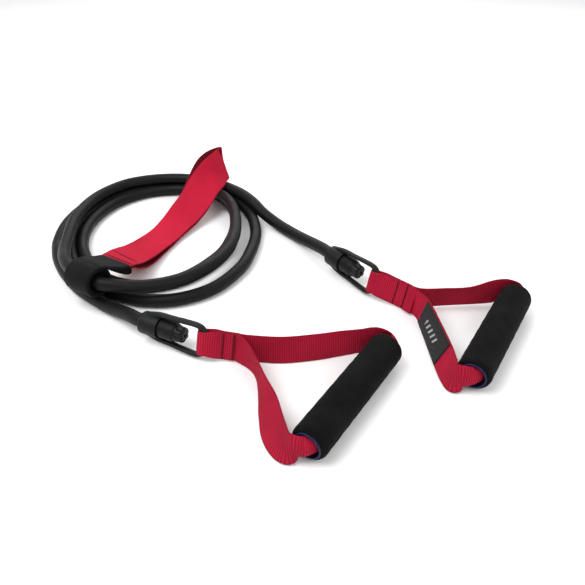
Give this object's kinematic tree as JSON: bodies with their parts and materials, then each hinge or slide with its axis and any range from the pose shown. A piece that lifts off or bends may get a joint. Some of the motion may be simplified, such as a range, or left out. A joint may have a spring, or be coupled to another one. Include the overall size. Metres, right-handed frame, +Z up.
{
  "type": "resistance band",
  "caption": "Coiled rubber resistance tube with a swivelling webbing handle at each end and a door anchor strap on a fabric sleeve.",
  "frame": {"origin": "on the floor, under the middle of the box round everything except the coiled tube and its two tails", "axes": "+X from the coil to the handles, +Y from the handles to the back of the coil, +Z up"},
  "size_m": [0.4841, 0.46, 0.063],
  "materials": {
    "tube": "satin black rubber",
    "plug": "moulded, fluted",
    "link": "satin moulded plastic",
    "webbing": "ribbed woven webbing",
    "anchor_webbing": "flat woven webbing",
    "thread": "sewn thread",
    "handle_tube": "smooth navy blue plastic",
    "foam": "matt closed-cell foam",
    "label": "woven label, plain",
    "neoprene": "smooth neoprene"
  },
  "bodies": {
    "cord": {"tube_coil": "tube", "tube_left": "tube", "tube_right": "tube", "tube_end_left": "tube", "tube_end_right": "tube", "plug_left": "plug", "plug_right": "plug"},
    "link_left": {"link_left": "link"},
    "link_right": {"link_right": "link"},
    "handle_strap_left": {"strap_left": "webbing", "stitches_left": "thread"},
    "handle_strap_right": {"strap_right": "webbing", "stitches_right": "thread", "woven_label": "label"},
    "grip_left": {"handle_core_left": "handle_tube", "foam_grip_left": "foam"},
    "grip_right": {"handle_core_right": "handle_tube", "foam_grip_right": "foam"},
    "anchor": {"anchor_sleeve": "neoprene", "anchor_strap": "anchor_webbing", "anchor_stitches": "thread"}
  },
  "joints": [
    {"name": "link_left_swivel", "type": "hinge", "parent": "cord", "child": "link_left", "pos_m": [-0.134, -0.0702, 0.016], "axis": [0.891, -0.454, 0], "continuous": true},
    {"name": "link_right_swivel", "type": "hinge", "parent": "cord", "child": "link_right", "pos_m": [0.0357, 0.0417, 0.016], "axis": [0.6157, -0.788, 0], "range_deg": [-150, 150]},
    {"name": "strap_left_swing", "type": "hinge", "parent": "link_left", "child": "handle_strap_left", "pos_m": [-0.07876, -0.09835, 0.016], "axis": [0.1175, 0.2306, 0.9659], "range_deg": [-80, 60]},
    {"name": "strap_right_swing", "type": "hinge", "parent": "link_right", "child": "handle_strap_right", "pos_m": [0.07387, -0.00716, 0.016], "axis": [0.2039, 0.1593, 0.9659], "range_deg": [-8, 80]},
    {"name": "grip_left_spin", "type": "hinge", "parent": "handle_strap_left", "child": "grip_left", "pos_m": [0.0406, -0.1561, 0.0146], "axis": [0.5446, 0.8387, 0], "continuous": true},
    {"name": "grip_right_spin", "type": "hinge", "parent": "handle_strap_right", "child": "grip_right", "pos_m": [0.1708, -0.0842, 0.0146], "axis": [0.5225, 0.8526, 0], "continuous": true},
    {"name": "anchor_roll", "type": "hinge", "parent": "cord", "child": "anchor", "pos_m": [-0.1945, -0.0207, 0.029], "axis": [0.848, -0.5299, 0], "range_deg": [0, 100]}
  ]
}
